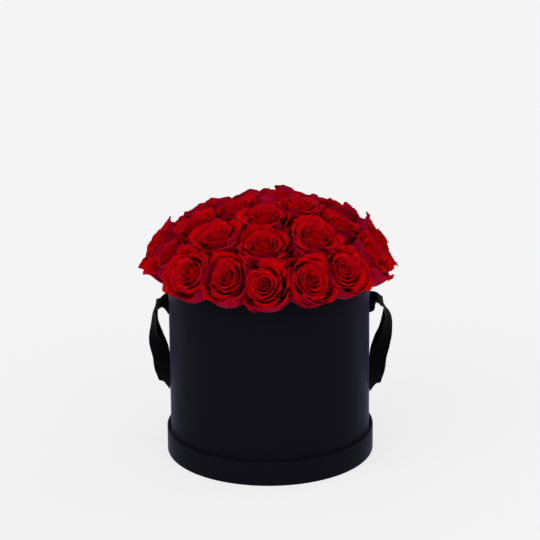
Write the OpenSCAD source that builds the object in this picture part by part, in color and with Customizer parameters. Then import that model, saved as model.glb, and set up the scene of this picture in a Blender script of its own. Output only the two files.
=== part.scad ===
// Round flower box: a black board box standing in its own upturned lid, filled with a
// dome of red rose heads on short stems in floral foam, with a ribbon loop on each side.
// Frame: Z up, origin at the centre of the lid's underside, front towards -Y.
// The roses are set in three rings. Each head is one closed skin of whorls that climbs
// from the base, rolls over the outer lip and drops into the valleys between the inner
// whorls, and is then pressed into its own cell of the dome, as packed heads are.

/* [Box] */
// Outer diameter of the box wall
box_d = 200; // [160:1:240]
// Height of the box wall
box_h = 188; // [150:1:240]
// Thickness of the box board
board_t = 2; // [1.5:0.1:3]

/* [Lid] */
// Height of the lid's rim
lid_h = 25.7; // [18:0.1:40]
// Thickness of the lid board
lid_t = 2.2; // [1.5:0.1:3]
// Radial gap between the lid's rim and the box wall
lid_gap = 1.6; // [1:0.1:3]

/* [Roses] */
// Widest radius of a rose head before it is pressed into its cell
rose_r = 28; // [24:0.5:30]
// Height of a rose head from its base to the tip of its bud
rose_h = 38; // [34:0.5:42]
// Roses in the lower ring
lower_n = 15; // [13:1:17]
// Roses in the middle ring
middle_n = 9; // [8:1:10]
// Roses in the top ring
top_n = 4; // [4:1:5]
// Half width of the dome through the faces of the roses
dome_r = 124; // [122:1:130]
// Height of the dome through the faces of the roses
dome_h = 76; // [70:1:84]
// Space left between pressed roses
rose_gap = 0.5; // [0.4:0.1:1]

/* [Foam and liner] */
// Diameter of a rose stem
stem_d = 5; // [4:0.5:6]
// Length of a stem below its calyx
stem_l = 32; // [24:1:36]
// Length that the stems gain from each ring to the next one inwards
stem_step = 8; // [4:1:10]
// Height of the foam's cylindrical side above the liner's floor
foam_side_h = 166; // [140:1:170]
// Height of the foam's domed top above its side
foam_dome_h = 26; // [20:1:30]
// Thickness of the waterproof liner
liner_t = 1; // [0.8:0.1:1.5]
// How far the liner's rim stays below the shoulder of the foam
liner_drop = 6; // [2:1:20]

/* [Ribbon handles] */
// Width of the ribbon
ribbon_w = 16; // [12:0.5:18]
// Thickness of the ribbon
ribbon_t = 0.9; // [0.6:0.1:1]
// Space between the two strands of a loop where they lie side by side
strand_gap = 2; // [1:0.5:8]
// Depth of the slits' centre below the rim of the box
slit_drop = 37; // [28:1:78]
// Width of a slit
slit_w = 3; // [2.6:0.1:4]
// Height of a slit
slit_h = 19; // [18.6:0.1:24]

/* [Hidden] */
$fn = 96;
seat_gap = 0.2;      // box foot above the lid panel
glue_gap = 0.1;      // glue line between boards
loose_gap = 0.3;     // clearance of pieces that are only slipped in
stem_fit = 0.15;     // clearance round a stem in its bore
box_r = box_d / 2;
box_ri = box_r - board_t;
rim_ri = box_r + lid_gap;
rim_ro = rim_ri + lid_t;
foot_z = lid_t + seat_gap;
wall_top = foot_z + box_h;
floor_z = foot_z + board_t;
slit_spacing = ribbon_w + strand_gap;
slit_z = wall_top - slit_drop;       // level of the slits' centre

ring_names = ["lower", "middle", "top"];
ring_n = [lower_n, middle_n, top_n];
ring_share = [0.903, 0.613, 0.26];   // ring radius as a share of dome_r
ring_start = [-0.5, -3, -8];         // turn of the first rose from the front
front_draw = [2.8, 0, 0];            // roses drawn in towards front and back, degrees
dome_sink = 4;                       // depth of the dome's widest section below the rim
dome_z = wall_top - dome_sink;

function rose_name(k, i) = str("rose_", ring_names[k], "_", i < 9 ? "0" : "", i + 1);
function unit(v) = v / norm(v);
function clamp(x, a, b) = min(max(x, a), b);

// ---- Boards ----

module lid_panel() {
    color("#1a1a1c") cylinder(r = rim_ri - glue_gap, h = lid_t);
}

module lid_rim() {
    color("#1a1a1c") difference() {
        cylinder(r = rim_ro, h = lid_h);
        translate([0, 0, -1]) cylinder(r = rim_ri, h = lid_h + 2);
    }
}

module box_base() {
    color("#1a1a1c") translate([0, 0, foot_z]) cylinder(r = box_ri - glue_gap, h = board_t);
}

// Upright slit at one side of a handle: side is 1 or -1, end is 1 or -1
module slit(side, end) {
    translate([side * box_r, end * slit_spacing / 2, slit_z])
        cube([6 * board_t, slit_w, slit_h], center = true);
}

module box_wall() {
    color("#1a1a1c") difference() {
        translate([0, 0, foot_z]) cylinder(r = box_r, h = box_h);
        translate([0, 0, foot_z - 1]) cylinder(r = box_ri, h = box_h + 2);
        for (side = [-1, 1], end = [-1, 1]) slit(side, end);
    }
}

// ---- Liner, foam and stems ----

liner_ro = box_ri - 2 * (ribbon_t + 2 * loose_gap);
foam_r = liner_ro - liner_t - loose_gap;
foam_z = floor_z + glue_gap + liner_t;
liner_h = foam_side_h - liner_drop;
foam_cap_r = (foam_r * foam_r + foam_dome_h * foam_dome_h) / (2 * foam_dome_h);

module foam_liner() {
    color("#6f7377") translate([0, 0, floor_z + glue_gap]) rotate_extrude()
        polygon([[0, 0], [liner_ro, 0], [liner_ro, liner_h], [liner_ro - liner_t, liner_h],
                 [liner_ro - liner_t, liner_t], [0, liner_t]]);
}

module foam_body() {
    intersection() {
        translate([0, 0, foam_z]) cylinder(r = foam_r, h = foam_side_h + foam_dome_h);
        translate([0, 0, foam_z + foam_side_h + foam_dome_h - foam_cap_r])
            sphere(r = foam_cap_r, $fn = 192);
    }
}

module foam_block() {
    color("#4d6b45") difference() {
        foam_body();
        for (k = [0:2], i = [0:ring_n[k] - 1]) at_rose(k, i) stem(k, stem_fit);
    }
}

calyx_h = 5;
calyx_r = 4.4;

// Stem and calyx hang below the base of the rose, along its axis
module stem(k, grow) {
    length = stem_l + stem_step * k;
    translate([0, 0, -length]) cylinder(d = stem_d + 2 * grow, h = length - calyx_h, $fn = 24);
    translate([0, 0, -calyx_h]) cylinder(d1 = stem_d + 2 * grow, r2 = calyx_r + grow, h = calyx_h, $fn = 24);
}

module stems(k) {
    color("#4f7a3a") for (i = [0:ring_n[k] - 1]) at_rose(k, i) stem(k, 0);
}

// ---- Places of the roses ----

// Face centre and outward axis in the half plane (radius, height)
function face_rz(k) = let(r = ring_share[k] * dome_r)
    [r, dome_z + dome_h * sqrt(1 - pow(ring_share[k], 2))];
function axis_rz(k) = let(f = face_rz(k))
    unit([f[0] / (dome_r * dome_r), (f[1] - dome_z) / (dome_h * dome_h)]);
function base_rz(k) = face_rz(k) - rose_h * axis_rz(k);
function rose_turn(k, i) = let(a = ring_start[k] + i * 360 / ring_n[k]) a - front_draw[k] * sin(2 * a);
// Turns of the two side planes of a rose's cell, half way to its neighbours
function cell_turns(k, i) = let(t = rose_turn(k, i))
    [rose_turn(k, i - 1) + t, t + rose_turn(k, i + 1)] / 2;

module at_rose(k, i) {
    b = base_rz(k);
    n = axis_rz(k);
    rotate([0, 0, rose_turn(k, i) - 90]) translate([b[0], 0, b[1]]) rotate([0, 90 - atan2(n[1], n[0]), 0])
        children();
}

// ---- Rose heads ----

rose_sides = 20;
// Loops of the skin from the base to the heart of the bud, as shares of rose_r and rose_h:
// radius, height, petals in the whorl, how far a petal's free edge stands out,
// how far the lip dips between petals, and the turn of the whorl
rose_loops = [
    [0.15, 0.00, 5, 0.00, 0.00, 0],
    [0.48, 0.20, 5, 0.06, 0.00, 0],
    [0.84, 0.52, 5, 0.10, 0.02, 0],
    [1.04, 0.90, 5, 0.14, 0.12, 0],
    [0.68, 0.74, 5, 0.06, 0.00, 36],
    [0.66, 0.96, 5, 0.14, 0.08, 36],
    [0.45, 0.78, 4, 0.08, 0.00, 20],
    [0.43, 0.99, 4, 0.18, 0.06, 20],
    [0.24, 0.83, 4, 0.10, 0.00, 65],
    [0.20, 1.00, 4, 0.28, 0.04, 65],
    [0.06, 0.88, 4, 0.00, 0.00, 65]];

function petal_share(angle, n) = let(q = angle * n / 360) q - floor(q + 0.0001);
function loop_point(l, j, turn) = let(
    q = petal_share(j * 360 / rose_sides, l[2]),
    a = j * 360 / rose_sides + l[5] + turn,
    r = rose_r * l[0] * (1 + l[3] * (q - 0.4)),
    h = rose_h * (l[1] - l[4] * pow(cos(180 * (q - 0.125)), 2)))
    [r * cos(a), r * sin(a), h];

// Half-plane line between ring k and ring k + 1: a point on it and its normal towards ring k
function border(k) = let(d = unit(axis_rz(k) + axis_rz(k + 1)))
    [(face_rz(k) + face_rz(k + 1)) / 2, [d[1], -d[0]]];
function push(p, b, sign) = let(over = sign * (p - b[0]) * b[1] + rose_gap / 2)
    over > 0 ? p - sign * over * b[1] : p;

// Presses a point of a head into its cell: side planes, the rings next to it, and the rim
function pressed(v, k, i) = let(
    n = axis_rz(k), b = base_rz(k), t = rose_turn(k, i), c = cell_turns(k, i),
    r0 = b[0] + v[2] * n[0] + v[0] * n[1],
    z0 = b[1] + v[2] * n[1] - v[0] * n[0],
    far = norm([r0, v[1]]),
    slack = asin(rose_gap / 2 / max(far, 20)),
    a = clamp(t + atan2(v[1], r0), c[0] + slack, c[1] - slack),
    p0 = [far, z0],
    p1 = k < 2 ? push(p0, border(k), -1) : p0,
    p2 = k > 0 ? push(p1, border(k - 1), 1) : p1,
    z2 = max(p2[1], wall_top + loose_gap))
    [p2[0] * sin(a), -p2[0] * cos(a), z2];

module rose(k, i) {
    m = rose_sides;
    loops = len(rose_loops);
    spin = 137.5 * (i + 3 * k);
    points = [for (l = rose_loops, j = [0:m - 1]) pressed(loop_point(l, j, spin), k, i)];
    skin = [for (l = [0:loops - 2], j = [0:m - 1])
        let(a = l * m + j, b = l * m + (j + 1) % m) each [[a, b + m, b], [a, a + m, b + m]]];
    base = [for (j = [1:m - 2]) [0, j, j + 1]];
    heart = [for (j = [1:m - 2]) let(o = (loops - 1) * m) [o, o + j + 1, o + j]];
    color(k == 1 ? "#b0000c" : "#a5000f") polyhedron(points, concat(skin, base, heart));
}

// ---- Ribbon ----

// Rows of a hanging strand, left and right: clear space between the wall and the band's inner
// edge, distance along the wall from the slit, height from the fold, and the way its width points
hinge_out = 14;
hinge_z = slit_z;
half = slit_spacing / 2;
strand_rows = [
    [[14, 0, 0, [0, 1, 0]], [11.8, 0, -9, [0.25, 0.95, 0]], [11.4, 0, -23, [0.44, 0.9, 0]],
     [6.6, 0, -37, [0.88, 0.48, 0]], [1.6, 0, -51, [1, 0, 0]], [1.3, 0.5, -64, [0.94, 0.25, 0.2]],
     [1.3, 3, -76, [0.84, 0.2, 0.42]], [1, half, -83.5, [0.6, 0, 0.8]]],
    [[14, 0, 0, [0, 1, 0]], [13.7, 0, -4, [0.08, 1, 0]], [15, 0, -10, [0.3, 0.95, 0]],
     [13.6, 0, -18, [0.56, 0.83, 0]], [10.2, 0, -32, [0.78, 0.62, 0]], [5, 0, -43, [0.97, 0.24, 0]],
     [1.6, 0, -55, [1, 0, 0.05]], [1.2, 0.5, -68, [0.95, 0.2, 0.2]], [1.3, 3, -80, [0.84, 0.2, 0.42]],
     [1, half, -88, [0.6, 0, 0.8]]]];
function strand_point(row) =
    [row[0] + unit(row[3])[0] * ribbon_w / 2 - hinge_out, row[1] - half, row[2]];
// Fixed end: glued along the inside of the wall, round the slit's edge, out and over
tail_r = box_ri - loose_gap - ribbon_t / 2;
slit_a = asin(half / tail_r);
end_rows = concat(
    [for (a = [slit_a + 20, slit_a + 14, slit_a + 8, slit_a + 3, slit_a + 1])
        [[tail_r * cos(a) - box_r, -tail_r * sin(a), 0], [0, 0, 1]]],
    [[[tail_r * cos(slit_a) - box_r + 0.05, -half - 0.2, 0], [0, 0, 1]],
     [[-board_t - 0.1, -half, 0], [0, 0, 1]],
     [[2.2, -half, 0], [0, 0, 1]],
     [[5, -half, 1.6], [0, 0.42, 0.9]],
     [[8.8, -half, 3.6], [0, 0.82, 0.55]],
     [[12.2, -half, 3], [0, 1, 0.1]],
     [[hinge_out - 0.3, -half, 0.85], [0, 1, 0]]]);

// Smooth curve through a list of vectors, steps pieces a span
function catmull(a, b, c, d, t) =
    0.5 * (2*b + (c - a)*t + (2*a - 5*b + 4*c - d)*t*t + (3*b - a - 3*c + d)*t*t*t);
function smooth(list, steps) = let(n = len(list))
    concat([for (i = [0:n - 2], s = [0:steps - 1])
        catmull(list[max(i - 1, 0)], list[i], list[i + 1], list[min(i + 2, n - 1)], s / steps)],
        [list[n - 1]]);
function column(rows, c) = [for (r = rows) r[c]];
function mirror_y(v) = [v[0], -v[1], v[2]];

// Flat band swept along points, its width held square to the path
module band(points, widths) {
    n = len(points);
    corners = [for (i = [0:n - 1]) let(
        along = unit(points[min(i + 1, n - 1)] - points[max(i - 1, 0)]),
        w = unit(widths[i] - along * (widths[i] * along)) * ribbon_w / 2,
        h = cross(along, unit(w)) * ribbon_t / 2)
        each [points[i] - w - h, points[i] + w - h, points[i] + w + h, points[i] - w + h]];
    sides = [for (i = [0:n - 2], j = [0:3]) let(a = 4*i + j, b = 4*i + (j + 1) % 4)
        each [[a, b + 4, b], [a, a + 4, b + 4]]];
    last = 4*n - 4;
    ends = [[0, 1, 2], [0, 2, 3], [last, last + 2, last + 1], [last, last + 3, last + 2]];
    polyhedron(corners, concat(sides, ends));
}

// side is 1 on the right and -1 on the left
module at_side(side) {
    rotate([0, 0, side > 0 ? 0 : 180]) translate([box_r, 0, hinge_z]) children();
}

module ribbon_loop(side) {
    rows = strand_rows[side > 0 ? 1 : 0];
    p = smooth([for (r = rows) strand_point(r)], 3);
    w = smooth(column(rows, 3), 3);
    n = len(p);
    back = [for (i = [n - 2:-1:0]) mirror_y(p[i])];
    back_w = [for (i = [n - 2:-1:0]) mirror_y(w[i])];
    color("#0c0c0e") at_side(side) translate([hinge_out, 0, 0]) band(concat(p, back), concat(w, back_w));
}

module ribbon_ends(side) {
    p = column(end_rows, 0);
    w = column(end_rows, 1);
    color("#0c0c0e") at_side(side) for (m = [0, 1]) mirror([0, m, 0]) band(p, w);
}

lid_panel();
lid_rim();
box_base();
box_wall();
foam_liner();
foam_block();
ribbon_ends(-1);  // ribbon_ends_left
ribbon_ends(1);  // ribbon_ends_right
ribbon_loop(-1);  // ribbon_loop_left
ribbon_loop(1);  // ribbon_loop_right
stems(0);  // stems_lower
stems(1);  // stems_middle
stems(2);  // stems_top
for (k = [0:2], i = [0:ring_n[k] - 1])
    rose(k, i);
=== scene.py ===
"""Flower box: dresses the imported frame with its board, ribbon and rose petals.

All lengths in the property groups are metres, in the frame's own axes: +Z up, front towards -Y,
origin at the centre of the lid's underside.
"""
from math import asin, cos, pi, radians, sin

import bpy
import numpy as np
from mathutils import Matrix, Vector


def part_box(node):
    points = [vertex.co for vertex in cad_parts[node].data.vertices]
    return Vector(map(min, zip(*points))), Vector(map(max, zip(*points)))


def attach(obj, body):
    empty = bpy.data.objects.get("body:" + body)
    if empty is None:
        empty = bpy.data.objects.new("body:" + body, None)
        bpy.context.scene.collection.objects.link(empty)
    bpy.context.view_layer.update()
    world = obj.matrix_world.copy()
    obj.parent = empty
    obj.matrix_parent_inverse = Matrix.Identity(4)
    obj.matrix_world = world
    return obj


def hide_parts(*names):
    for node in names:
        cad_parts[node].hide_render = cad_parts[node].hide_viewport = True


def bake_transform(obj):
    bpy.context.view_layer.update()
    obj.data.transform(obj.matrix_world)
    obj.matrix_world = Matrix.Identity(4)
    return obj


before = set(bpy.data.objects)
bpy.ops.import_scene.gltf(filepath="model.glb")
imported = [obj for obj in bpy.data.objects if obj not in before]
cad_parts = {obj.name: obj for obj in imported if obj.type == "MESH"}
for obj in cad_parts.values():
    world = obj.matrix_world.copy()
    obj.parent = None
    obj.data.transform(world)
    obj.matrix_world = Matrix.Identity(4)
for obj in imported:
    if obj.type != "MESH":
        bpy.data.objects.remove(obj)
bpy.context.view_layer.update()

bl_info = {
    "name": "Flower Box Dresser",
    "version": (1, 0, 0),
    "blender": (4, 5, 0),
    "location": "View3D > Sidebar > Flower Box",
    "description": "Builds the board, ribbons and rose heads of a round flower box round its frame",
    "category": "Object",
}

WALL_LOW, WALL_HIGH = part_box("box_wall")
RIM_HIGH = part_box("lid_rim")[1]
MM = 0.001
SLIT_DROP = 37 * MM       # from the wall's rim down to the slits' centre and to the ribbons' fold
SLIT_SPACING = 18         # between the two slits of a handle, millimetres


# ---- Settings -------------------------------------------------

def length(name, default, description):
    """A length in metres that the sidebar shows in the scene's units."""
    return bpy.props.FloatProperty(name=name, default=default, description=description,
                                   unit="LENGTH", subtype="DISTANCE", precision=4)


def hex_setting(name, default, thing):
    """The sRGB colour of a thing, as text."""
    return bpy.props.StringProperty(name=name, default=default, description="sRGB colour of " + thing)


class FLOWERBOX_PG_board(bpy.types.PropertyGroup):
    """Box wall, its slits and the lid's rim"""
    wall_radius: length("Wall radius", WALL_HIGH.x, "Outer radius of the box wall")
    wall_foot: length("Wall foot", WALL_LOW.z, "Height of the foot of the wall")
    wall_top: length("Wall top", WALL_HIGH.z, "Height of the wall's rim")
    board: length("Board", 2 * MM, "Thickness of the box board")
    rim_radius: length("Lid radius", RIM_HIGH.x, "Outer radius of the lid's rim")
    rim_top: length("Lid height", RIM_HIGH.z, "Height of the lid's rim")
    rim_board: length("Lid board", 2.2 * MM, "Thickness of the lid board")
    edge: length("Edge radius", 0.7 * MM, "Rounding of the paper over the board's edges")
    slit_spacing: length("Slit spacing", SLIT_SPACING * MM, "Distance between the two slits of a handle")
    slit_width: length("Slit width", 3 * MM, "Width of a slit")
    slit_height: length("Slit height", 19 * MM, "Height of a slit")
    slit_centre: length("Slit centre", WALL_HIGH.z - SLIT_DROP, "Height of the slits' centre")
    paper: hex_setting("Paper colour", "#0F0F15", "the black wrapping paper")


class FLOWERBOX_PG_roses(bpy.types.PropertyGroup):
    """Rose heads and the dome that they fill"""
    head_radius: length("Head radius", 16.5 * MM, "Radius of a rose head's cup at its neck")
    guard_radius: length("Guard radius", 21 * MM, "Radius of the outermost whorl at its neck")
    reach: length("Reach", 28.2 * MM, "How far the lower heads may stand out at the front and back")
    side_reach: length("Side reach", 4.5 * MM, "How much farther they may stand out at the sides")
    head_height: length("Head height", 38 * MM, "Height of a rose head, base to bud")
    dome_radius: length("Dome radius", 124 * MM, "Half width of the dome through the faces")
    dome_height: length("Dome height", 76 * MM, "Height of the dome through the faces")
    interleave: length("Interleave", 2.4 * MM, "How far the petals of neighbouring heads overlap")
    petal: length("Petal thickness", 0.45 * MM, "Thickness of a petal")
    petals: bpy.props.IntProperty(name="Petals", default=16, min=10, max=40,
                                  description="Petals of one rose head, without the outermost whorl")
    guards: bpy.props.IntProperty(name="Guard petals", default=7, min=4, max=9,
                                  description="Petals of the outermost, open whorl")
    skirts: bpy.props.IntProperty(name="Low petals", default=6, min=0, max=9,
                                  description="Low petals that close the corners between heads")
    face: hex_setting("Petal face", "#EA0004", "a petal's inner face")
    back: hex_setting("Petal back", "#C0083A", "a petal's back")


class FLOWERBOX_PG_ribbon(bpy.types.PropertyGroup):
    """Ribbon of both handles"""
    width: length("Ribbon width", 16 * MM, "Width of the ribbon")
    thickness: length("Ribbon thickness", 0.55 * MM, "Thickness of the ribbon")
    hinge_out: length("Fold reach", 14 * MM, "How far from the wall the ribbon folds over")
    hinge_height: length("Fold height", WALL_HIGH.z - SLIT_DROP, "Height of the fold")
    colour: hex_setting("Ribbon colour", "#050507", "the ribbon")


# ---- Mesh and material helpers --------------------------------

def linear(hex_colour):
    """sRGB hex to the linear colour that shaders take."""
    parts = [int(hex_colour[i:i + 2], 16) / 255 for i in (1, 3, 5)]
    return tuple(c / 12.92 if c <= 0.04045 else ((c + 0.055) / 1.055) ** 2.4 for c in parts) + (1.0,)


def mesh_object(name, points, quads, uvs=None, values=None):
    """Smooth mesh from arrays: points (n, 3), quads (m, 4), uvs per point, and named floats per point."""
    mesh = bpy.data.meshes.new(name)
    mesh.vertices.add(len(points))
    mesh.vertices.foreach_set("co", np.asarray(points, np.float32).ravel())
    mesh.loops.add(quads.size)
    mesh.loops.foreach_set("vertex_index", quads.astype(np.int32).ravel())
    mesh.polygons.add(len(quads))
    mesh.polygons.foreach_set("loop_start", np.arange(0, quads.size, 4, dtype=np.int32))
    if uvs is not None:
        layer = mesh.uv_layers.new(name="surface")
        layer.data.foreach_set("uv", np.asarray(uvs, np.float32)[quads.ravel()].ravel())
    for key, column in (values or {}).items():
        attribute = mesh.attributes.new(key, "FLOAT", "POINT")
        attribute.data.foreach_set("value", np.asarray(column, np.float32).ravel())
    mesh.update(calc_edges=True)
    mesh.validate()
    mesh.polygons.foreach_set("use_smooth", np.ones(len(mesh.polygons), bool))
    obj = bpy.data.objects.new(name, mesh)
    bpy.context.scene.collection.objects.link(obj)
    return obj


def grid_quads(rows, columns, wrap_rows=False, wrap_columns=False, start=0):
    """Quads of a grid whose point (i, j) has index start + i * columns + j."""
    i = np.arange(rows if wrap_rows else rows - 1)[:, None]
    j = np.arange(columns if wrap_columns else columns - 1)[None, :]
    i2, j2 = (i + 1) % rows, (j + 1) % columns
    a, b, c, d = i * columns + j, i * columns + j2, i2 * columns + j2, i2 * columns + j
    corners = [np.broadcast_to(x, (i.size, j.size)) for x in (a, b, c, d)]
    return np.stack(corners, -1).reshape(-1, 4) + start


def node(tree, kind, settings=None, inputs=None):
    """Adds one shader node, sets its properties and its sockets; an output given as a value is linked."""
    made = tree.nodes.new(kind)
    for key, value in (settings or {}).items():
        setattr(made, key, value)
    for key, value in (inputs or {}).items():
        if isinstance(value, bpy.types.NodeSocket):
            tree.links.new(value, made.inputs[key])
        else:
            made.inputs[key].default_value = value
    return made


def material(name):
    """An empty material and its node tree."""
    made = bpy.data.materials.new(name)
    made.use_nodes = True
    made.node_tree.nodes.clear()
    return made, made.node_tree


def finish(tree, shader):
    """Links a shader to its material's output."""
    node(tree, "ShaderNodeOutputMaterial", inputs={"Surface": shader.outputs[0]})


def dress(obj, made):
    """Gives a piece one material."""
    obj.data.materials.clear()
    obj.data.materials.append(made)


# ---- Materials ------------------------------------------------

def laminated_paper(hex_colour):
    """Matte laminated art paper wrapped over greyboard: near black with a faint fibre mottle, painted shade
    that darkens the faces that look up, and a bluish sheen where the wall turns away."""
    made, tree = material("laminated_paper")
    place = node(tree, "ShaderNodeTexCoord").outputs["Object"]
    # fibre mottle of the paper, about 0.8 mm, and the slow waviness of hand-glued wrap, 40 mm
    fibre = node(tree, "ShaderNodeTexNoise", inputs={"Vector": place, "Scale": 1250.0, "Detail": 3.0})
    wave = node(tree, "ShaderNodeTexNoise", inputs={"Vector": place, "Scale": 25.0, "Detail": 1.0})
    mottle = node(tree, "ShaderNodeMapRange", inputs={
        "Value": fibre.outputs["Fac"], "From Min": 0.3, "From Max": 0.7, "To Min": 0.9, "To Max": 1.12})
    # painted shade: faces that look up, such as the boards' folded top edges and the lid's floor, are
    # painted almost pure black, which stands in for the shade in the gap above the lid's rim
    normal = node(tree, "ShaderNodeNewGeometry").outputs["Normal"]
    facing = node(tree, "ShaderNodeSeparateXYZ", inputs={0: normal})
    upright = node(tree, "ShaderNodeMapRange", inputs={
        "Value": facing.outputs["Z"], "From Min": 0.2, "From Max": 0.6, "To Min": 1.0, "To Max": 0.03})
    # tone is the fibre mottle times the painted shade of faces that look up
    tone = node(tree, "ShaderNodeMath", {"operation": "MULTIPLY"}, {
        0: mottle.outputs["Result"], 1: upright.outputs["Result"]})
    colour = node(tree, "ShaderNodeVectorMath", {"operation": "SCALE"},
                  {0: linear(hex_colour)[:3], "Scale": tone.outputs["Value"]})
    rough = node(tree, "ShaderNodeMapRange", inputs={
        "Value": wave.outputs["Fac"], "From Min": 0.3, "From Max": 0.7, "To Min": 0.40, "To Max": 0.48})
    fine = node(tree, "ShaderNodeBump", inputs={
        "Strength": 0.12, "Distance": 0.05 * MM, "Height": fibre.outputs["Fac"]})
    slow = node(tree, "ShaderNodeBump", inputs={
        "Strength": 0.25, "Distance": 0.15 * MM, "Height": wave.outputs["Fac"],
        "Normal": fine.outputs["Normal"]})
    shader = node(tree, "ShaderNodeBsdfPrincipled", inputs={
        "Base Color": colour.outputs["Vector"], "Roughness": rough.outputs["Result"], "IOR": 1.5,
        "Specular IOR Level": 0.01, "Sheen Weight": 0.2, "Sheen Roughness": 0.3,
        "Sheen Tint": linear("#B8B2FF"), "Normal": slow.outputs["Normal"]})
    finish(tree, shader)
    return made


def rose_petal(face, back):
    """Preserved rose petal: velvety cells without gloss, painted shade on the lower part of each petal,
    where the head is shaded, cooler along the rim, and a magenta back that fades to pale streaks at the
    claw."""
    made, tree = material("rose_petal")
    uv = node(tree, "ShaderNodeUVMap", {"uv_map": "surface"}).outputs["UV"]
    place = node(tree, "ShaderNodeTexCoord").outputs["Object"]
    back_side, tone, edge, along = (
        node(tree, "ShaderNodeAttribute", {"attribute_name": key}).outputs["Fac"]
        for key in ("back_side", "petal_tone", "edge", "along"))
    # veins about 1.5 mm apart, stretched along the petal, and blotches of about 10 mm
    stretched = node(tree, "ShaderNodeMapping", inputs={"Vector": uv, "Scale": (26.0, 3.0, 1.0)})
    veins = node(tree, "ShaderNodeTexNoise", inputs={
        "Vector": stretched.outputs["Vector"], "Scale": 1.0, "Detail": 4.0, "Roughness": 0.6}).outputs["Fac"]
    blotch = node(tree, "ShaderNodeTexNoise", inputs={
        "Vector": place, "Scale": 90.0, "Detail": 3.0}).outputs["Fac"]
    # the pale claw and its streaks, the light and dark of veins and blotches, and the painted shade on the
    # lower part of each petal, low in the head
    spread = {}
    ranges = ("From Min", "From Max", "To Min", "To Max")
    for key, value, *limits in (
            ("claw", along, 0.62, 0.3, 0.0, 1.0), ("streaky", veins, 0.42, 0.6, 0.15, 1.0),
            ("veined", veins, 0.3, 0.7, 0.84, 1.12), ("blotched", blotch, 0.3, 0.7, 0.84, 1.1),
            ("painted_low_shade", along, 0.3, 0.8, 0.75, 1.0)):
        mapped = node(tree, "ShaderNodeMapRange", inputs={"Value": value, **dict(zip(ranges, limits))})
        spread[key] = mapped.outputs["Result"]
    streaks = node(tree, "ShaderNodeMath", {"operation": "MULTIPLY", "use_clamp": True}, {
        0: spread["claw"], 1: spread["streaky"]})
    front = node(tree, "ShaderNodeMix", {"data_type": "RGBA"}, {
        "Factor": edge, "A": linear(face), "B": linear("#B40420")})
    rear = node(tree, "ShaderNodeMix", {"data_type": "RGBA"}, {
        "Factor": streaks.outputs["Value"], "A": linear(back), "B": linear("#C4708A")})
    both = node(tree, "ShaderNodeMix", {"data_type": "RGBA"}, {
        "Factor": back_side, "A": front.outputs["Result"], "B": rear.outputs["Result"]})
    # the veins, the blotches and the painted shade low on each petal darken the colour in turn
    for key in ("veined", "blotched", "painted_low_shade"):
        shaded = node(tree, "ShaderNodeMath", {"operation": "MULTIPLY"}, {0: tone, 1: spread[key]})
        tone = shaded.outputs["Value"]
    colour = node(tree, "ShaderNodeVectorMath", {"operation": "SCALE"}, {
        0: both.outputs["Result"], "Scale": tone})
    bump = node(tree, "ShaderNodeBump", inputs={"Strength": 0.35, "Distance": 0.12 * MM, "Height": veins})
    velvet = node(tree, "ShaderNodeBsdfPrincipled", inputs={
        "Base Color": colour.outputs["Vector"], "Roughness": 0.7, "IOR": 1.35,
        "Specular IOR Level": 0.03, "Sheen Weight": 0.06, "Sheen Roughness": 0.4,
        "Sheen Tint": linear("#FF0024"), "Normal": bump.outputs["Normal"]})
    # light that comes through the thin petal
    through = node(tree, "ShaderNodeBsdfTranslucent", inputs={"Color": colour.outputs["Vector"]})
    shader = node(tree, "ShaderNodeMixShader", inputs={0: 0.42, 1: velvet.outputs[0], 2: through.outputs[0]})
    finish(tree, shader)
    return made


def woven_ribbon(hex_colour):
    """Black grosgrain ribbon: ribs across the width every 0.6 mm, each with a painted highlight that makes
    it a little lighter on its back.
    """
    made, tree = material("grosgrain_ribbon")
    uv = node(tree, "ShaderNodeUVMap", {"uv_map": "surface"}).outputs["UV"]
    # the UV map is in metres, and the wave texture makes 10 / pi waves a unit at scale 1
    ribs_per_metre = 1671.8
    ribs = node(tree, "ShaderNodeTexWave", {"bands_direction": "Y", "wave_profile": "SIN"},
                {"Vector": uv, "Scale": ribs_per_metre * pi / 10, "Distortion": 0.3, "Detail": 1.0})
    fuzz = node(tree, "ShaderNodeTexNoise", inputs={"Vector": uv, "Scale": 2500.0, "Detail": 2.0})
    # painted highlight: each rib is painted lighter on its raised back and darker in the groove beside it
    tone = node(tree, "ShaderNodeMapRange", inputs={
        "Value": ribs.outputs["Fac"], "To Min": 0.5, "To Max": 1.6})
    colour = node(tree, "ShaderNodeVectorMath", {"operation": "SCALE"},
                  {0: linear(hex_colour)[:3], "Scale": tone.outputs["Result"]})
    raised = node(tree, "ShaderNodeBump", inputs={
        "Strength": 0.6, "Distance": 0.12 * MM, "Height": ribs.outputs["Fac"]})
    fuzzy = node(tree, "ShaderNodeBump", inputs={
        "Strength": 0.2, "Distance": 0.04 * MM, "Height": fuzz.outputs["Fac"],
        "Normal": raised.outputs["Normal"]})
    shader = node(tree, "ShaderNodeBsdfPrincipled", inputs={
        "Base Color": colour.outputs["Vector"], "Roughness": 0.6, "IOR": 1.5, "Specular IOR Level": 0.02,
        "Normal": fuzzy.outputs["Normal"]})
    finish(tree, shader)
    return made


def cut_stem():
    """Green rose stem and calyx: waxy skin with darker streaks along it."""
    made, tree = material("rose_stem")
    place = node(tree, "ShaderNodeTexCoord").outputs["Object"]
    streak = node(tree, "ShaderNodeTexNoise", inputs={"Vector": place, "Scale": 300.0, "Detail": 3.0})
    colour = node(tree, "ShaderNodeMix", {"data_type": "RGBA"}, {
        "Factor": streak.outputs["Fac"], "A": linear("#22361A"), "B": linear("#3C562C")})
    shader = node(tree, "ShaderNodeBsdfPrincipled", inputs={
        "Base Color": colour.outputs["Result"], "Roughness": 0.5})
    finish(tree, shader)
    return made


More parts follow.
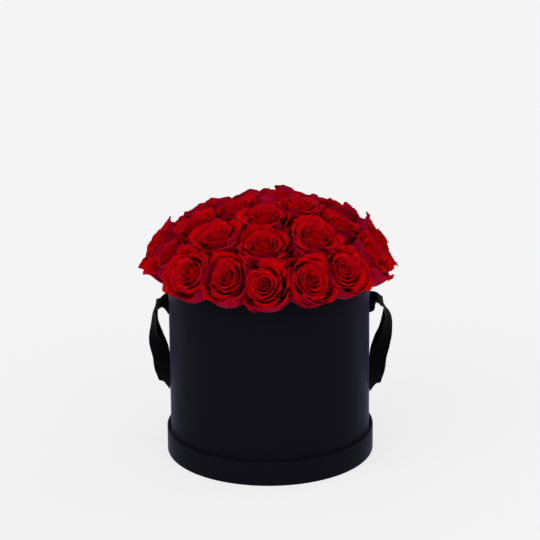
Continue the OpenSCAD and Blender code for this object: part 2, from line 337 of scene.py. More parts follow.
def floral_foam():
    """Floral foam: crumbly open cells of about 1 mm, dark green."""
    made, tree = material("floral_foam")
    place = node(tree, "ShaderNodeTexCoord").outputs["Object"]
    cells = node(tree, "ShaderNodeTexVoronoi", inputs={"Vector": place, "Scale": 900.0})
    colour = node(tree, "ShaderNodeMix", {"data_type": "RGBA"}, {
        "Factor": cells.outputs["Distance"], "A": linear("#263A22"), "B": linear("#4C6A44")})
    bump = node(tree, "ShaderNodeBump", inputs={
        "Strength": 0.6, "Distance": 0.4 * MM, "Height": cells.outputs["Distance"]})
    shader = node(tree, "ShaderNodeBsdfPrincipled", inputs={
        "Base Color": colour.outputs["Result"], "Roughness": 0.95, "Normal": bump.outputs["Normal"]})
    finish(tree, shader)
    return made


def liner_film():
    """Thin grey polypropylene pot: soft gloss with faint flow marks."""
    made, tree = material("liner_film")
    place = node(tree, "ShaderNodeTexCoord").outputs["Object"]
    flow = node(tree, "ShaderNodeTexNoise", inputs={"Vector": place, "Scale": 60.0, "Detail": 2.0})
    rough = node(tree, "ShaderNodeMapRange", inputs={
        "Value": flow.outputs["Fac"], "To Min": 0.3, "To Max": 0.5})
    shader = node(tree, "ShaderNodeBsdfPrincipled", inputs={
        "Base Color": linear("#6B6E72"), "Roughness": rough.outputs["Result"]})
    finish(tree, shader)
    return made


# ---- Board pieces ---------------------------------------------

def rounded_section(inner, outer, low, high, edge, steps=5):
    """Closed section (radius, height) of an upright board, its corners quarter circles of radius edge:
    outer foot, outer top, inner top, inner foot."""
    quarter = np.linspace(0, pi / 2, steps)
    corners = [
        (outer - edge, low + edge, -pi / 2), (outer - edge, high - edge, 0),
        (inner + edge, high - edge, pi / 2), (inner + edge, low + edge, pi)]
    parts = [np.stack([r + edge * np.cos(quarter + a), z + edge * np.sin(quarter + a)], -1)
             for r, z, a in corners]
    return np.concatenate(parts)


def revolve(name, section, sides=360):
    """Closed section turned about Z: point (i, j) is section point j turned by i * 360 / sides."""
    turn = np.linspace(0, 2 * pi, sides, endpoint=False)[:, None]
    r, z = section[None, :, 0], section[None, :, 1]
    height = np.broadcast_to(z, (sides, len(section)))
    points = np.stack([r * np.cos(turn), r * np.sin(turn), height], -1)
    quads = grid_quads(sides, len(section), True, True)
    return mesh_object(name, points.reshape(-1, 3), quads)


def from_middle(turn, span):
    """Angle from the middle of a span of turns, the short way round."""
    return abs((turn - sum(span) / 2 + pi) % (2 * pi) - pi)


def wall_lines(board):
    """Turns and heights of the wall's grid: a line for each degree, but for those in or close beside a
    slit, with the slits' own lines added, and heights that meet the foot and the top of the slits."""
    half = board.slit_width / 2 / board.wall_radius
    apart = board.slit_spacing / 2 / board.wall_radius
    centres = [side * pi / 2 + pi / 2 - side * end * apart for side in (-1, 1) for end in (-1, 1)]
    spans = [(c - half, c + half) for c in centres]
    beside = 0.004
    degrees = np.linspace(0, 2 * pi, 360, endpoint=False)
    keep = [t for t in degrees if all(from_middle(t, span) > half + beside for span in spans)]
    turns = np.array(sorted(keep + [x % (2 * pi) for span in spans for x in span]))
    slit = (board.slit_centre - board.slit_height / 2, board.slit_centre + board.slit_height / 2)
    heights = np.concatenate([
        np.linspace(board.wall_foot + board.edge, slit[0], 12),
        np.linspace(slit[0], slit[1], 5)[1:], np.linspace(slit[1], board.wall_top - board.edge, 6)[1:]])
    return turns, heights, spans, slit


def pierced_wall(board):
    """The box wall: a grid of turns and section points, outer face up and inner face down again, with
    the cells of each slit left out of both faces and joined through the board by the slit's sides."""
    turns, heights, spans, slit = wall_lines(board)
    outer, inner = board.wall_radius, board.wall_radius - board.board
    foot, top, edge = board.wall_foot, board.wall_top, board.edge
    quarter = np.linspace(0, pi / 2, 5)[1:-1]

    def corner(r, z, start):
        """The points between the two ends of a quarter circle round (r, z)."""
        return np.stack([r + edge * np.cos(quarter + start), z + edge * np.sin(quarter + start)], -1)

    n = len(heights)
    over = np.concatenate([
        corner(outer - edge, top - edge, 0), [[outer - edge, top], [inner + edge, top]],
        corner(inner + edge, top - edge, pi / 2)])
    under = np.concatenate([
        corner(inner + edge, foot + edge, pi), [[inner + edge, foot], [outer - edge, foot]],
        corner(outer - edge, foot + edge, -pi / 2)])
    section = np.concatenate([
        np.stack([np.full(n, outer), heights], -1), over,
        np.stack([np.full(n, inner), heights[::-1]], -1), under])
    m, sides = len(section), len(turns)
    r, z = section[None, :, 0], np.broadcast_to(section[None, :, 1], (sides, m))
    points = np.stack([r * np.cos(turns)[:, None], r * np.sin(turns)[:, None], z], -1).reshape(-1, 3)
    quads = grid_quads(sides, m, True, True)
    column, row = quads[:, 0] // m, quads[:, 0] % m
    middle = turns[column] + ((turns[(column + 1) % sides] - turns[column]) % (2 * pi)) / 2
    in_slit = np.zeros(len(quads), bool)
    for span in spans:
        in_slit |= from_middle(middle, span) < (span[1] - span[0]) / 2
    height = (section[row, 1] + section[(row + 1) % m, 1]) / 2
    in_slit &= (height > slit[0]) & (height < slit[1])
    # the slit's sides: each boundary edge of the outer hole, joined to its twin on the inner face
    hole = quads[in_slit & (row < n)]
    edges = np.concatenate([hole[:, [0, 1]], hole[:, [1, 2]], hole[:, [2, 3]], hole[:, [3, 0]]])
    key = np.sort(edges, 1)
    _, index, count = np.unique(key, axis=0, return_index=True, return_counts=True)
    edges = edges[index[count == 1]]

    def twin(v):
        """The point of the inner face at the turn and the height of outer point v."""
        return v // m * m + n + len(over) + (n - 1 - v % m)

    sides_quads = np.stack([edges[:, 0], edges[:, 1], twin(edges[:, 1]), twin(edges[:, 0])], -1)
    return mesh_object("wall_wrap", points, np.concatenate([quads[~in_slit], sides_quads]))


# ---- Ribbons --------------------------------------------------

def catmull(rows, steps):
    """Catmull-Rom curve through the rows, steps points a span, worked out for all spans at once."""
    rows = np.asarray(rows, float)
    padded = np.concatenate([rows[:1], rows, rows[-1:]])
    a, b, c, d = padded[:-3], padded[1:-2], padded[2:-1], padded[3:]
    t = np.linspace(0, 1, steps, endpoint=False)[None, :, None]
    a, b, c, d = (x[:, None, :] for x in (a, b, c, d))
    curve = 0.5 * (2 * b + (c - a) * t + (2 * a - 5 * b + 4 * c - d) * t ** 2
                   + (3 * b - a - 3 * c + d) * t ** 3)
    return np.concatenate([curve.reshape(-1, rows.shape[1]), rows[-1:]])


# A ribbon's path is symmetric, so only one half is given, in millimetres, from the glued end on
HALF = SLIT_SPACING / 2
TAIL_TURNS = (20, 14, 8, 3, 1)        # rows of the glued end, degrees round the wall from the slit
TAIL_GAP = 0.5                        # between the wall's inner face and the glued end
RISE = {"left": -0.6, "right": 2.6}   # how far each ribbon arches over its slits
# Rows of the arch: distance out from the wall, shift from the slit towards the handle's middle, share
# of the rise, and the way the width points, along the wall and up
ARCH = ((-2.1, 0, 0, 0, 1), (1.4, 0, 0.15, -0.26, 0.97), (4.8, 0.3, 0.7, -0.82, 0.57),
        (8.2, 0.7, 1, -0.98, 0.18), (11.4, 0.8, 0.6, -1, 0))
# Rows of the hanging strand, from the fold down: clear space between the wall and the band's inner
# edge, shift from the slit towards the handle's middle, height, and the way from the inner edge to
# the outer one: out from the wall, along it and up
STRANDS = {
    "left": [(13.0, 0.8, -1.6, (0, 1, 0)), (11.8, 0.6, -9, (0.25, 0.95, 0)), (11.4, 0, -23, (0.44, 0.9, 0)),
             (6.4, 0, -37, (0.88, 0.48, 0)), (1.0, 0, -51, (1, 0, 0)), (0.7, 0.5, -63, (0.93, 0.2, 0.3)),
             (0.7, 3, -74, (0.78, 0.2, 0.58)), (0.7, HALF, -84.5, (0.55, 0, 0.83))],
    "right": [(13.6, 0.8, 0, (0, 1, 0)), (13.7, 0.8, -4, (0.08, 1, 0)), (15, 0.6, -10, (0.3, 0.95, 0)),
              (13.6, 0, -18, (0.56, 0.83, 0)), (10.0, 0, -32, (0.78, 0.62, 0)),
              (4.7, 0, -43, (0.97, 0.24, 0)), (1.0, 0, -55, (1, 0, 0.08)),
              (0.7, 0.5, -67, (0.93, 0.2, 0.3)), (0.7, 3, -78, (0.78, 0.2, 0.58)),
              (0.7, HALF, -89, (0.55, 0, 0.83))]}
# Section of the band: places across it, in half widths, and the band's half thickness there as a
# share of the whole one's, more at the woven edges
ACROSS = (-1, -0.97, -0.92, -0.5, 0, 0.5, 0.92, 0.97, 1)
HALF_THICK = (0.35, 1.1, 0.8, 0.75, 0.75, 0.75, 0.8, 1.1, 0.35)


def ribbon_rows(strand, rise, board, ribbon):
    """Half of a ribbon's path, as rows of place (out from the wall, along it, height over the fold) and
    width direction: glued along the inside of the wall, out through the slit, over and down."""
    outer = board.wall_radius / MM
    inside = outer - board.board / MM - TAIL_GAP - ribbon.thickness / MM / 2
    slit_turn = asin(HALF / inside)
    level = (board.slit_centre - ribbon.hinge_height) / MM
    tail = [(inside * cos(a) - outer, -inside * sin(a), level, 0, 0, 1)
            for a in (slit_turn + radians(x) for x in TAIL_TURNS)]
    # the last row inside the wall lies a hair before the slit
    before = [(inside * cos(slit_turn) - outer + 0.05, -HALF - 0.2, level, 0, 0, 1)]
    arch = [(out, shift - HALF, level + share * rise, 0, *way) for out, shift, share, *way in ARCH]
    hanging = []
    for clear, shift, height, way in strand:
        way = np.array(way) / np.linalg.norm(way)
        # the twist of the arch brings the band's other edge to the wall, so its width points back
        hanging.append((clear + way[0] * ribbon.width / MM / 2, shift - HALF, height, *-way))
    return np.array(tail + before + arch + hanging)


def ribbon_band(name, rows, ribbon, side):
    """One ribbon: a flat band carried along the smooth curve through the rows and their mirror image.
    The width direction is held square to the path. The path's length is given back as well."""
    steps = 8
    mirror = np.array([1, -1, 1])
    after = rows[-2:-1] * np.tile(mirror, 2)
    curve = catmull(np.concatenate([rows, after]), steps)[:-steps]
    path, width = curve[:, :3], curve[:, 3:]
    path = np.concatenate([path, (path[:-1] * mirror)[::-1]]) * MM
    width = np.concatenate([width, (width[:-1] * mirror)[::-1]])
    along = np.gradient(path, axis=0)
    along /= np.linalg.norm(along, axis=1, keepdims=True)
    width = width - along * (width * along).sum(1, keepdims=True)
    width /= np.linalg.norm(width, axis=1, keepdims=True)
    normal = np.cross(along, width)
    travelled = np.concatenate([[0], np.cumsum(np.linalg.norm(np.diff(path, axis=0), axis=1))])
    across = np.concatenate([ACROSS, ACROSS[::-1]]) * ribbon.width / 2
    lift = np.concatenate([HALF_THICK, np.negative(HALF_THICK)[::-1]]) * ribbon.thickness / 2
    points = (path[:, None] + width[:, None] * across[None, :, None] + normal[:, None] * lift[None, :, None]
              + np.array([WALL_HIGH.x, 0, ribbon.hinge_height]))
    if side < 0:
        # turned half round the box, not mirrored, so that its faces still look outwards
        points = points * np.array([-1, -1, 1])
    stations, columns = points.shape[:2]
    j = np.arange(columns // 2 - 1)
    cap = np.stack([j, j + 1, columns - 2 - j, columns - 1 - j], -1)
    quads = np.concatenate([grid_quads(stations, columns, False, True)[:, ::-1],
                            cap, (stations - 1) * columns + cap[:, ::-1]])
    uv = np.stack([np.broadcast_to(across[None, :], (stations, columns)),
                   np.broadcast_to(travelled[:, None], (stations, columns))], -1)
    return mesh_object(name, points.reshape(-1, 3), quads, uv.reshape(-1, 2)), travelled[-1]


# ---- Roses ----------------------------------------------------

RINGS = ("lower", "middle", "top")
RING_COUNT = [sum(n.startswith("rose_" + ring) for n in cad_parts) for ring in RINGS]
RING_SHARE = (0.903, 0.613, 0.26)    # ring radius as a share of the dome's
RING_START = (-0.5, -3.0, -8.0)      # turn of the first rose from the front, degrees
FRONT_DRAW = (2.8, 0.0, 0.0)         # roses drawn in towards front and back, degrees
DOME_SINK = 4 * MM                   # from the wall's rim down to the middle of the dome's ellipse
CELL_CORE = 20 * MM                  # nearer to the axis, a cell's overlap widens its angle no further
RIM_CLEAR = 1.2 * MM                 # least height over the wall's rim of a petal that lies on it,
RIM_REACH = (108 * MM, 10 * MM)      # which ends this far from the axis, and fades over this length
GOLDEN_TURN = radians(137.5)         # between one petal of a cup and the next


def dome_place(roses, wall_top, ring):
    """Base of a head and its outward axis in the half plane (radius, height): the ellipse of the dome
    gives the face, its gradient the axis, and the base lies one head's height below the face."""
    zero = wall_top - DOME_SINK
    share = RING_SHARE[ring]
    face = np.array([share * roses.dome_radius, zero + roses.dome_height * (1 - share ** 2) ** 0.5])
    axis = np.array([face[0] / roses.dome_radius ** 2, (face[1] - zero) / roses.dome_height ** 2])
    axis /= np.linalg.norm(axis)
    return face, axis, face - roses.head_height * axis


def rose_turn(ring, index):
    """Turn of a head's place round the dome, from the front."""
    a = RING_START[ring] + index * 360 / RING_COUNT[ring]
    return radians(a - FRONT_DRAW[ring] * sin(radians(2 * a)))


def soft_limit(x, limit, knee=0.85):
    """Leaves x alone up to the knee, a share of limit, then bends it so that it never passes limit."""
    room = limit * (1 - knee)
    return np.where(x > limit - room, limit - room * np.exp(-(x - limit + room) / room), x)


def petal_line(s, radius, height, t, flare, drop):
    """A petal's middle line: a Bezier curve of degree 4 from the claw, over the belly, to the tip. The
    inner petals (t near 0) close over the bud, and the outer ones (t near 1) roll out over the cup."""
    close = 0.60 + 0.40 * min(1.0, t * 2.4)
    knots = np.array([
        [1.2 * MM + 2.6 * MM * t, 2.0 * MM],
        [radius * 0.95 + 2.0 * MM, 1.0 * MM],
        [radius * 1.16 + 0.6 * MM, height * (0.52 - 0.10 * t)],
        [radius * (0.95 - 0.05 * t), height * (0.95 - 0.04 * t)],
        [radius * close + flare, height - drop]])
    s = s[..., None]
    line = sum(w * (1 - s) ** (4 - i) * s ** i * knots[i] for i, w in enumerate((1, 4, 6, 4, 1)))
    return line[..., 0], line[..., 1]


def cup_petal(rng, k, roses, openness):
    """Sizes of petal k of the cup, counted from the bud outwards."""
    t = k / (roses.petals - 1)
    bud = 0.9 * MM
    radius = bud + (roses.head_radius - bud) * t ** 1.25 + rng.normal(0, 0.35 * MM) * t
    tall = 0.93 + 0.07 * sin(pi * min(1.0, 1.3 * t))
    return {
        "t": t, "radius": radius, "turn": k * GOLDEN_TURN + rng.normal(0, 0.28),
        "height": roses.head_height * tall + rng.normal(0, 0.9 * MM) * (0.2 + t),
        "flare": (1.2 * t + 4.4 * t ** 1.6 * openness) * MM,
        "drop": (0.6 * t + 2.6 * t ** 2 * openness) * MM,
        "half_width": min(1.9, 21 * MM / (radius + 3.0 * MM)) * (1 + rng.normal(0, 0.14)),
        "cusp": (0.04 + 0.19 * t) * rng.uniform(0.4, 1.5), "roll": 0.3 + 2.4 * t * openness}


def guard_petal(rng, k, roses, ring, spin, side):
    """Sizes of guard petal k. Guards that face up the dome rise to meet the ring above. In the lower ring
    those that face away from the dome stand tall and wide, cup their heads and show their backs; side is
    1 at the box's left and right, where they hang widest, and 0 at its front and back."""
    turn = k * 2 * pi / roses.guards + rng.normal(0, 0.22)
    facing = cos(turn + spin)
    up = max(0.0, -facing) ** 0.5 if ring < 2 else 0.0
    out = max(0.0, facing) ** 0.5 if ring == 0 else 0.0
    apart = (1.3 * (k % 2) - 0.6 + (3.0 + 4.5 * side) * out) * MM
    tall = 0.87 + (0.15 - 0.10 * side) * out + 0.12 * up
    return {
        "t": 1.0, "turn": turn, "radius": roses.guard_radius + apart + rng.normal(0, 0.5 * MM),
        "height": roses.head_height * tall + rng.normal(0, 1.3 * MM),
        "flare": (3.4 - 0.4 * out + rng.normal(0, 0.8)) * MM, "drop": (1.2 + rng.normal(0, 0.7)) * MM,
        "half_width": 0.80 + rng.normal(0, 0.06), "cusp": 0.2 * rng.uniform(0.6, 1.5),
        "roll": 2.0 - 1.6 * out}


def skirt_petal(rng, k, roses, ring, spin):
    """Sizes of low petal k under the guards, which closes the corners between the heads of the dome."""
    turn = k * 2 * pi / roses.skirts + rng.normal(0, 0.2)
    facing = max(0.0, cos(turn + spin)) if ring == 0 else 0.0
    return {
        "t": 1.0, "turn": turn,
        "radius": roses.guard_radius + (5.0 - 2.6 * facing) * MM + rng.normal(0, 0.8 * MM),
        "height": roses.head_height * (0.72 + 0.10 * facing) + rng.normal(0, 1.6 * MM),
        "flare": (3.6 - 1.6 * facing + rng.normal(0, 0.8)) * MM, "drop": 1.0 * MM,
        "half_width": 0.86 + rng.normal(0, 0.06), "cusp": 0.14 * rng.uniform(0.6, 1.5),
        "roll": 1.6 - 1.2 * facing}


def petal_grid(rng, petal, roses):
    """One petal as two grids (inner face, outer face). u runs across from -1 to 1 and v from claw to tip.
    The line of petal_line is turned about the head's axis by an angle that grows with u. The tip line is
    lower towards the sides and a little ragged. The rim comes to a cusp in the middle, rolls outwards and
    is finely frilled. One side of the petal stands further out than the other, so each overlaps the next."""
    u, v = np.meshgrid(np.linspace(-1, 1, 19), np.linspace(0, 1, 15))
    t = petal["t"]
    phase = rng.uniform(0, 2 * pi, 5)
    middle = rng.normal(0, 0.16)
    shoulders = (0.05 + 0.09 * t) * np.abs(u) ** 2.4 + 0.05 * np.abs(u) ** 8
    ragged = 0.014 * np.sin(u * 7 + phase[3]) + 0.013 * np.sin(u * 15 + phase[4])
    blunt = 0.02
    peak = np.sqrt((u - middle) ** 2 + blunt)
    s = v * (1 - shoulders - 0.25 * petal["cusp"] * (peak - 0.5) + ragged * (0.3 + t))
    r, z = petal_line(s, petal["radius"], petal["height"], t, petal["flare"], petal["drop"])
    spread = 0.30 + 0.70 * np.sin(np.minimum(1.0, v * 1.35) * pi / 2)
    # the cusp draws the middle of the rim out and its sides in, so whorls look many-sided from above
    r = r - petal["radius"] * petal["cusp"] * (peak - 0.45) * v ** 4
    r = r + (0.45 + 0.9 * t) * MM * u * v
    # rolled rim: the last part of the blade bends outwards, more along the far side
    rim = np.clip((v - 0.72) / 0.28, 0, 1) ** 2
    roll = petal["roll"] * MM * (1 + 0.45 * np.sin(2.6 * u + phase[0]))
    r = r + roll * rim
    z = z - roll * 0.7 * rim * t
    # slow waves across the blade, and a fine frill at its rim
    wave = (np.sin(3.1 * u + phase[0]) * 0.5 + np.sin(5.3 * u + 2.2 * v + phase[1]) * 0.35
            + np.sin(9.1 * u + phase[2]) * 0.15)
    r = r + wave * v ** 3 * (0.08 + 1.0 * t) * MM
    r = r + np.sin(12.5 * u + phase[4]) * v ** 8 * (0.12 + 0.5 * t) * MM
    z = z + np.sin(4.0 * u + phase[1]) * v ** 4 * (0.1 + 1.2 * t) * MM
    turn = petal["turn"] + u * petal["half_width"] * spread
    sheet = np.stack([r * np.cos(turn), r * np.sin(turn), z], -1)
    across = np.cross(np.gradient(sheet, axis=1), np.gradient(sheet, axis=0))
    across /= np.linalg.norm(across, axis=-1, keepdims=True) + 1e-12
    # the blade thins to half at its edges
    thin = roses.petal / 2 * (1 - 0.5 * np.maximum(np.abs(u) ** 6, v ** 10))[..., None]
    outer, inner = sheet + across * thin, sheet - across * thin
    rim_mask = np.maximum(np.clip((v - 0.88) / 0.12, 0, 1), np.clip((np.abs(u) - 0.86) / 0.14, 0, 1) * v)
    return inner, outer, u, v, rim_mask


def petal_shell_quads(rows, columns, start):
    """Quads of both faces of a petal and of the rim between them."""
    n = rows * columns
    inner = grid_quads(rows, columns, start=start)
    outer = grid_quads(rows, columns, start=start + n)[:, ::-1]
    j, i = np.arange(columns), np.arange(rows)
    loop = np.concatenate([j, (i[1:] * columns) + columns - 1, (rows - 1) * columns + j[::-1][1:],
                           (i[::-1][1:-1]) * columns]) + start
    after = np.roll(loop, -1)
    rim = np.stack([after, loop, loop + n, after + n], -1)
    return np.concatenate([inner, outer, rim])


def press_into_cell(points, ring, index, roses, wall_top):
    """Carries a head from its own axes onto the dome and presses it into its cell: the turn is held
    between the two side planes, and the place across the rings between the borders to the next rings."""
    face, axis, base = dome_place(roses, wall_top, ring)
    turn = rose_turn(ring, index)
    if ring == 0:
        points = points.copy()
        points[..., 0] = soft_limit(points[..., 0], roses.reach + roses.side_reach * sin(turn) ** 2)
    r0 = base[0] + points[..., 2] * axis[0] + points[..., 0] * axis[1]
    z0 = base[1] + points[..., 2] * axis[1] - points[..., 0] * axis[0]
    y0 = points[..., 1]
    far = np.hypot(r0, y0)
    local = np.arctan2(y0, r0)
    extra = roses.interleave / 2 / np.maximum(far, CELL_CORE)
    right = (rose_turn(ring, index + 1) - turn) / 2
    left = (turn - rose_turn(ring, index - 1)) / 2
    local = np.where(local > 0, soft_limit(np.maximum(local, 0), right + extra),
                     -soft_limit(np.maximum(-local, 0), left + extra))
    place = np.stack([far, z0], -1)
    centre = (face + base) / 2
    for other, sign in ((ring + 1, -1), (ring - 1, 1)):
        if 0 <= other <= 2:
            face2, axis2, _ = dome_place(roses, wall_top, other)
            line = (axis + axis2) / np.linalg.norm(axis + axis2)
            normal = np.array([line[1], -line[0]]) * sign
            reach = (face + face2) / 2
            beyond = (place - centre) @ normal
            limit = (reach - centre) @ normal + roses.interleave / 2
            held = np.where(beyond > 0, soft_limit(np.maximum(beyond, 0), limit), beyond)
            place = place + (held - beyond)[..., None] * normal
    angle = turn + local
    low = wall_top + RIM_CLEAR
    near = np.clip((RIM_REACH[0] - place[..., 0]) / RIM_REACH[1], 0, 1)
    z = place[..., 1]
    z = np.where(z < low, z + (low - z) * near, z)
    return np.stack([place[..., 0] * np.sin(angle), -place[..., 0] * np.cos(angle), z], -1)


def rose_head(name, ring, index, roses, wall_top):
    """All petals of one head in one mesh, pressed into its cell."""
    rng = np.random.default_rng(1000 + 100 * ring + index)
    openness = float(np.clip(rng.normal(0.75, 0.22), 0.3, 1.2))
    spin = rng.uniform(0, 2 * pi)
    tilt = rng.normal(0, radians(4.5), 2)
    size = 1 + rng.normal(0, 0.025)
    lift = np.array([0, 0, rng.normal(0, 1.2 * MM) + (1.8 * MM if ring == 2 else 0)])
    all_points, all_quads, uvs = [], [], []
    values = {"back_side": [], "petal_tone": [], "edge": [], "along": []}
    start = 0
    plan = [cup_petal(rng, k, roses, openness) for k in range(roses.petals)]
    side = sin(rose_turn(ring, index)) ** 2
    plan += [guard_petal(rng, k, roses, ring, spin, side) for k in range(roses.guards)]
    plan += [skirt_petal(rng, k, roses, ring, spin) for k in range(roses.skirts)]
    for petal in plan:
        inner, outer, u, v, rim = petal_grid(rng, petal, roses)
        rows, columns = u.shape
        all_points += [inner.reshape(-1, 3), outer.reshape(-1, 3)]
        all_quads.append(petal_shell_quads(rows, columns, start))
        start += 2 * rows * columns
        offset = rng.uniform(0, 1, 2)
        flat = np.stack([u.ravel() * 0.5 + 0.5 + offset[0], v.ravel() + offset[1]], -1)
        uvs += [flat, flat]
        tone = float(np.clip(rng.normal(1.0, 0.07), 0.82, 1.18))
        age = float(np.clip((petal["t"] - 0.6) / 0.3, 0, 1))
        for key, a, b in (("back_side", 0 * u, 0 * u + age), ("petal_tone", 0 * u + tone, 0 * u + tone),
                          ("edge", rim, rim), ("along", v, v)):
            values[key] += [a.ravel(), b.ravel()]
    points = np.concatenate(all_points) * size
    turn = Matrix.Rotation(spin, 3, "Z")
    lean = Matrix.Rotation(tilt[0], 3, "X") @ Matrix.Rotation(tilt[1], 3, "Y")
    points = points @ np.array(lean @ turn).T + lift
    points = press_into_cell(points, ring, index, roses, wall_top)
    return mesh_object(name, points, np.concatenate(all_quads), np.concatenate(uvs),
                       {key: np.concatenate(parts) for key, parts in values.items()})


# ---- Operators ------------------------------------------------

class FLOWERBOX_OT_board(bpy.types.Operator):
    """Wrap the box wall and the lid's rim in matte black paper"""
    bl_idname = "flowerbox.board"
    bl_label = "Board"

    def execute(self, context):
        board = context.scene.flowerbox_board
        paper = laminated_paper(board.paper)
        wall = pierced_wall(board)
        dress(wall, paper)
        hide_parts("box_wall")
        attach(wall, "box")
        section = rounded_section(
            board.rim_radius - board.rim_board, board.rim_radius, 0, board.rim_top, board.edge)
        rim = revolve("lid_rim_wrap", section)
        dress(rim, paper)
        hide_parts("lid_rim")
        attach(rim, "tray")
        for name in ("lid_panel", "box_base"):
            dress(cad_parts[name], paper)
        return {"FINISHED"}


class FLOWERBOX_OT_ribbons(bpy.types.Operator):
    """Hang a ribbon loop from the slits on each side"""
    bl_idname = "flowerbox.ribbons"
    bl_label = "Ribbons"

    def execute(self, context):
        board, ribbon = context.scene.flowerbox_board, context.scene.flowerbox_ribbon
        weave = woven_ribbon(ribbon.colour)
        for name, side in (("left", -1), ("right", 1)):
            rows = ribbon_rows(STRANDS[name], RISE[name], board, ribbon)
            band, flat_length = ribbon_band("ribbon_" + name, rows, ribbon, side)
            dress(band, weave)
            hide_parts("ribbon_loop_" + name, "ribbon_ends_" + name)
            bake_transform(band)
        return {"FINISHED"}


class FLOWERBOX_OT_filling(bpy.types.Operator):
    """Finish the liner, the foam and the stems"""
    bl_idname = "flowerbox.filling"
    bl_label = "Filling"

    def execute(self, context):
        dress(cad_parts["foam_block"], floral_foam())
        dress(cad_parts["foam_liner"], liner_film())
        stem = cut_stem()
        for ring in RINGS:
            dress(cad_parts["stems_" + ring], stem)
        return {"FINISHED"}


class FLOWERBOX_OT_roses(bpy.types.Operator):
    """Set the rose heads into the dome"""
    bl_idname = "flowerbox.roses"
    bl_label = "Roses"

    def execute(self, context):
        roses = context.scene.flowerbox_roses
        wall_top = context.scene.flowerbox_board.wall_top
        velvet = rose_petal(roses.face, roses.back)
        for ring, name in enumerate(RINGS):
            for index in range(RING_COUNT[ring]):
                label = f"{name}_{index + 1:02d}"
                head = rose_head("petals_" + label, ring, index, roses, wall_top)
                dress(head, velvet)
                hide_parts("rose_" + label)
                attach(head, "box")
        return {"FINISHED"}


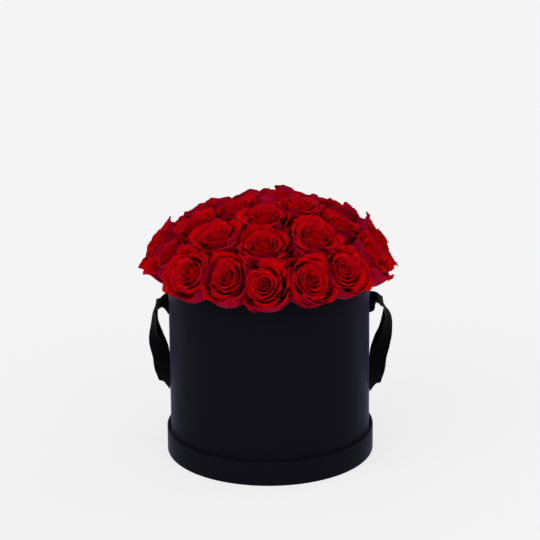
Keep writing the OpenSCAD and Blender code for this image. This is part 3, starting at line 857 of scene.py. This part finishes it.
class FLOWERBOX_OT_stage(bpy.types.Operator):
    """Set the floor, the lamps and the camera"""
    bl_idname = "flowerbox.stage"
    bl_label = "Stage"

    def execute(self, context):
        scene = context.scene
        scene.view_settings.view_transform = "Standard"
        self.floor()
        self.lamps(scene)
        self.camera(scene)
        return {"FINISHED"}

    def floor(self):
        """Pale ground, wide enough to fill the view."""
        mesh = bpy.data.meshes.new("floor")
        half = 8.0
        corners = [(-half, -half, 0), (half, -half, 0), (half, half, 0), (-half, half, 0)]
        mesh.from_pydata(corners, [], [(0, 1, 2, 3)])
        obj = bpy.data.objects.new("floor", mesh)
        bpy.context.scene.collection.objects.link(obj)
        made, tree = material("pale_floor")
        # to the camera the floor is partly the plain backdrop colour, so that its shadows stay faint
        path = node(tree, "ShaderNodeLightPath")
        plain = node(tree, "ShaderNodeMath", {"operation": "MULTIPLY"}, {
            0: path.outputs["Is Camera Ray"], 1: 0.8})
        matte = node(tree, "ShaderNodeBsdfDiffuse", inputs={"Color": linear("#F4F4F4")})
        glow = node(tree, "ShaderNodeEmission", inputs={"Color": linear("#F4F4F4")})
        shader = node(tree, "ShaderNodeMixShader", inputs={
            0: plain.outputs["Value"], 1: matte.outputs[0], 2: glow.outputs[0]})
        finish(tree, shader)
        dress(obj, made)

    def lamps(self, scene):
        """Even world light with a wide soft key from the left, a fill from the right and an edge light.
        On the floor their shares add up to about 1, so a colour shows about as it is written."""
        for name, turn, height, spread, strength in (
                ("key", -48, 36, 55, 1.0), ("fill", 40, 30, 60, 0.6), ("edge", 118, 22, 50, 0.5)):
            lamp = bpy.data.lights.new(name, "SUN")
            lamp.energy = strength
            lamp.angle = radians(spread)
            obj = bpy.data.objects.new(name, lamp)
            towards = Vector((sin(radians(turn)) * cos(radians(height)),
                              -cos(radians(turn)) * cos(radians(height)), sin(radians(height))))
            obj.rotation_euler = towards.to_track_quat("Z", "Y").to_euler()
            scene.collection.objects.link(obj)
        world = bpy.data.worlds.new("studio")
        world.use_nodes = True
        tree = world.node_tree
        tree.nodes.clear()
        path = node(tree, "ShaderNodeLightPath")
        mirrored = node(tree, "ShaderNodeMath", {"operation": "MAXIMUM"}, {
            0: path.outputs["Is Camera Ray"], 1: path.outputs["Is Glossy Ray"]})
        seen = node(tree, "ShaderNodeMath", {"operation": "MAXIMUM"}, {
            0: mirrored.outputs["Value"], 1: path.outputs["Is Transmission Ray"]})
        # the backdrop is seen brighter than it lights
        strength = node(tree, "ShaderNodeMapRange", inputs={
            "Value": seen.outputs["Value"], "To Min": 0.665, "To Max": 0.9})
        light = node(tree, "ShaderNodeBackground", inputs={
            "Color": linear("#FFFFFF"), "Strength": strength.outputs["Result"]})
        node(tree, "ShaderNodeOutputWorld", inputs={"Surface": light.outputs[0]})
        scene.world = world

    def camera(self, scene):
        """Camera 2.78 m away, 19.2 degrees above the floor, aimed close to the wall's rim."""
        elevation, roll, distance = radians(19.2026), radians(-0.49074), 2.77688
        aim = Vector((1.197 * MM, 0, 188.12 * MM))
        back = Vector((0, -cos(elevation), sin(elevation)))
        level = Vector((1, 0, 0))
        above = level.cross(-back)
        right = level * cos(roll) + above * sin(roll)
        up = above * cos(roll) - level * sin(roll)
        lens = bpy.data.cameras.new("camera")
        lens.sensor_width = 36.0
        lens.lens = 186.55
        lens.clip_end = 50.0
        obj = bpy.data.objects.new("camera", lens)
        obj.matrix_world = Matrix((right, up, back)).transposed().to_4x4()
        obj.location = aim + back * distance
        scene.collection.objects.link(obj)
        scene.camera = obj


class FLOWERBOX_PT_panel(bpy.types.Panel):
    """Settings and operators in the sidebar of the 3D view"""
    bl_label = "Flower Box"
    bl_idname = "FLOWERBOX_PT_panel"
    bl_space_type = "VIEW_3D"
    bl_region_type = "UI"
    bl_category = "Flower Box"

    def draw(self, context):
        for group in ("flowerbox_board", "flowerbox_ribbon", "flowerbox_roses"):
            column = self.layout.column()
            settings = getattr(context.scene, group)
            for key in settings.bl_rna.properties.keys():
                if key not in ("rna_type", "name"):
                    column.prop(settings, key)
        for operator in OPERATORS:
            self.layout.operator(operator.bl_idname)


OPERATORS = (FLOWERBOX_OT_stage, FLOWERBOX_OT_board, FLOWERBOX_OT_ribbons, FLOWERBOX_OT_filling,
             FLOWERBOX_OT_roses)
GROUPS = {"flowerbox_board": FLOWERBOX_PG_board, "flowerbox_ribbon": FLOWERBOX_PG_ribbon,
          "flowerbox_roses": FLOWERBOX_PG_roses}
CLASSES = tuple(GROUPS.values()) + OPERATORS + (FLOWERBOX_PT_panel,)


def register():
    """Adds the classes and their settings on the scene."""
    for cls in CLASSES:
        bpy.utils.register_class(cls)
    for name, group in GROUPS.items():
        setattr(bpy.types.Scene, name, bpy.props.PointerProperty(type=group))


def unregister():
    """Takes the settings and the classes away again."""
    for name in GROUPS:
        delattr(bpy.types.Scene, name)
    for cls in reversed(CLASSES):
        bpy.utils.unregister_class(cls)


def main():
    """Builds the stage and every piece."""
    register()
    bpy.ops.flowerbox.stage()
    bpy.ops.flowerbox.board()
    bpy.ops.flowerbox.ribbons()
    bpy.ops.flowerbox.filling()
    bpy.ops.flowerbox.roses()


if __name__ == "__main__":
    main()
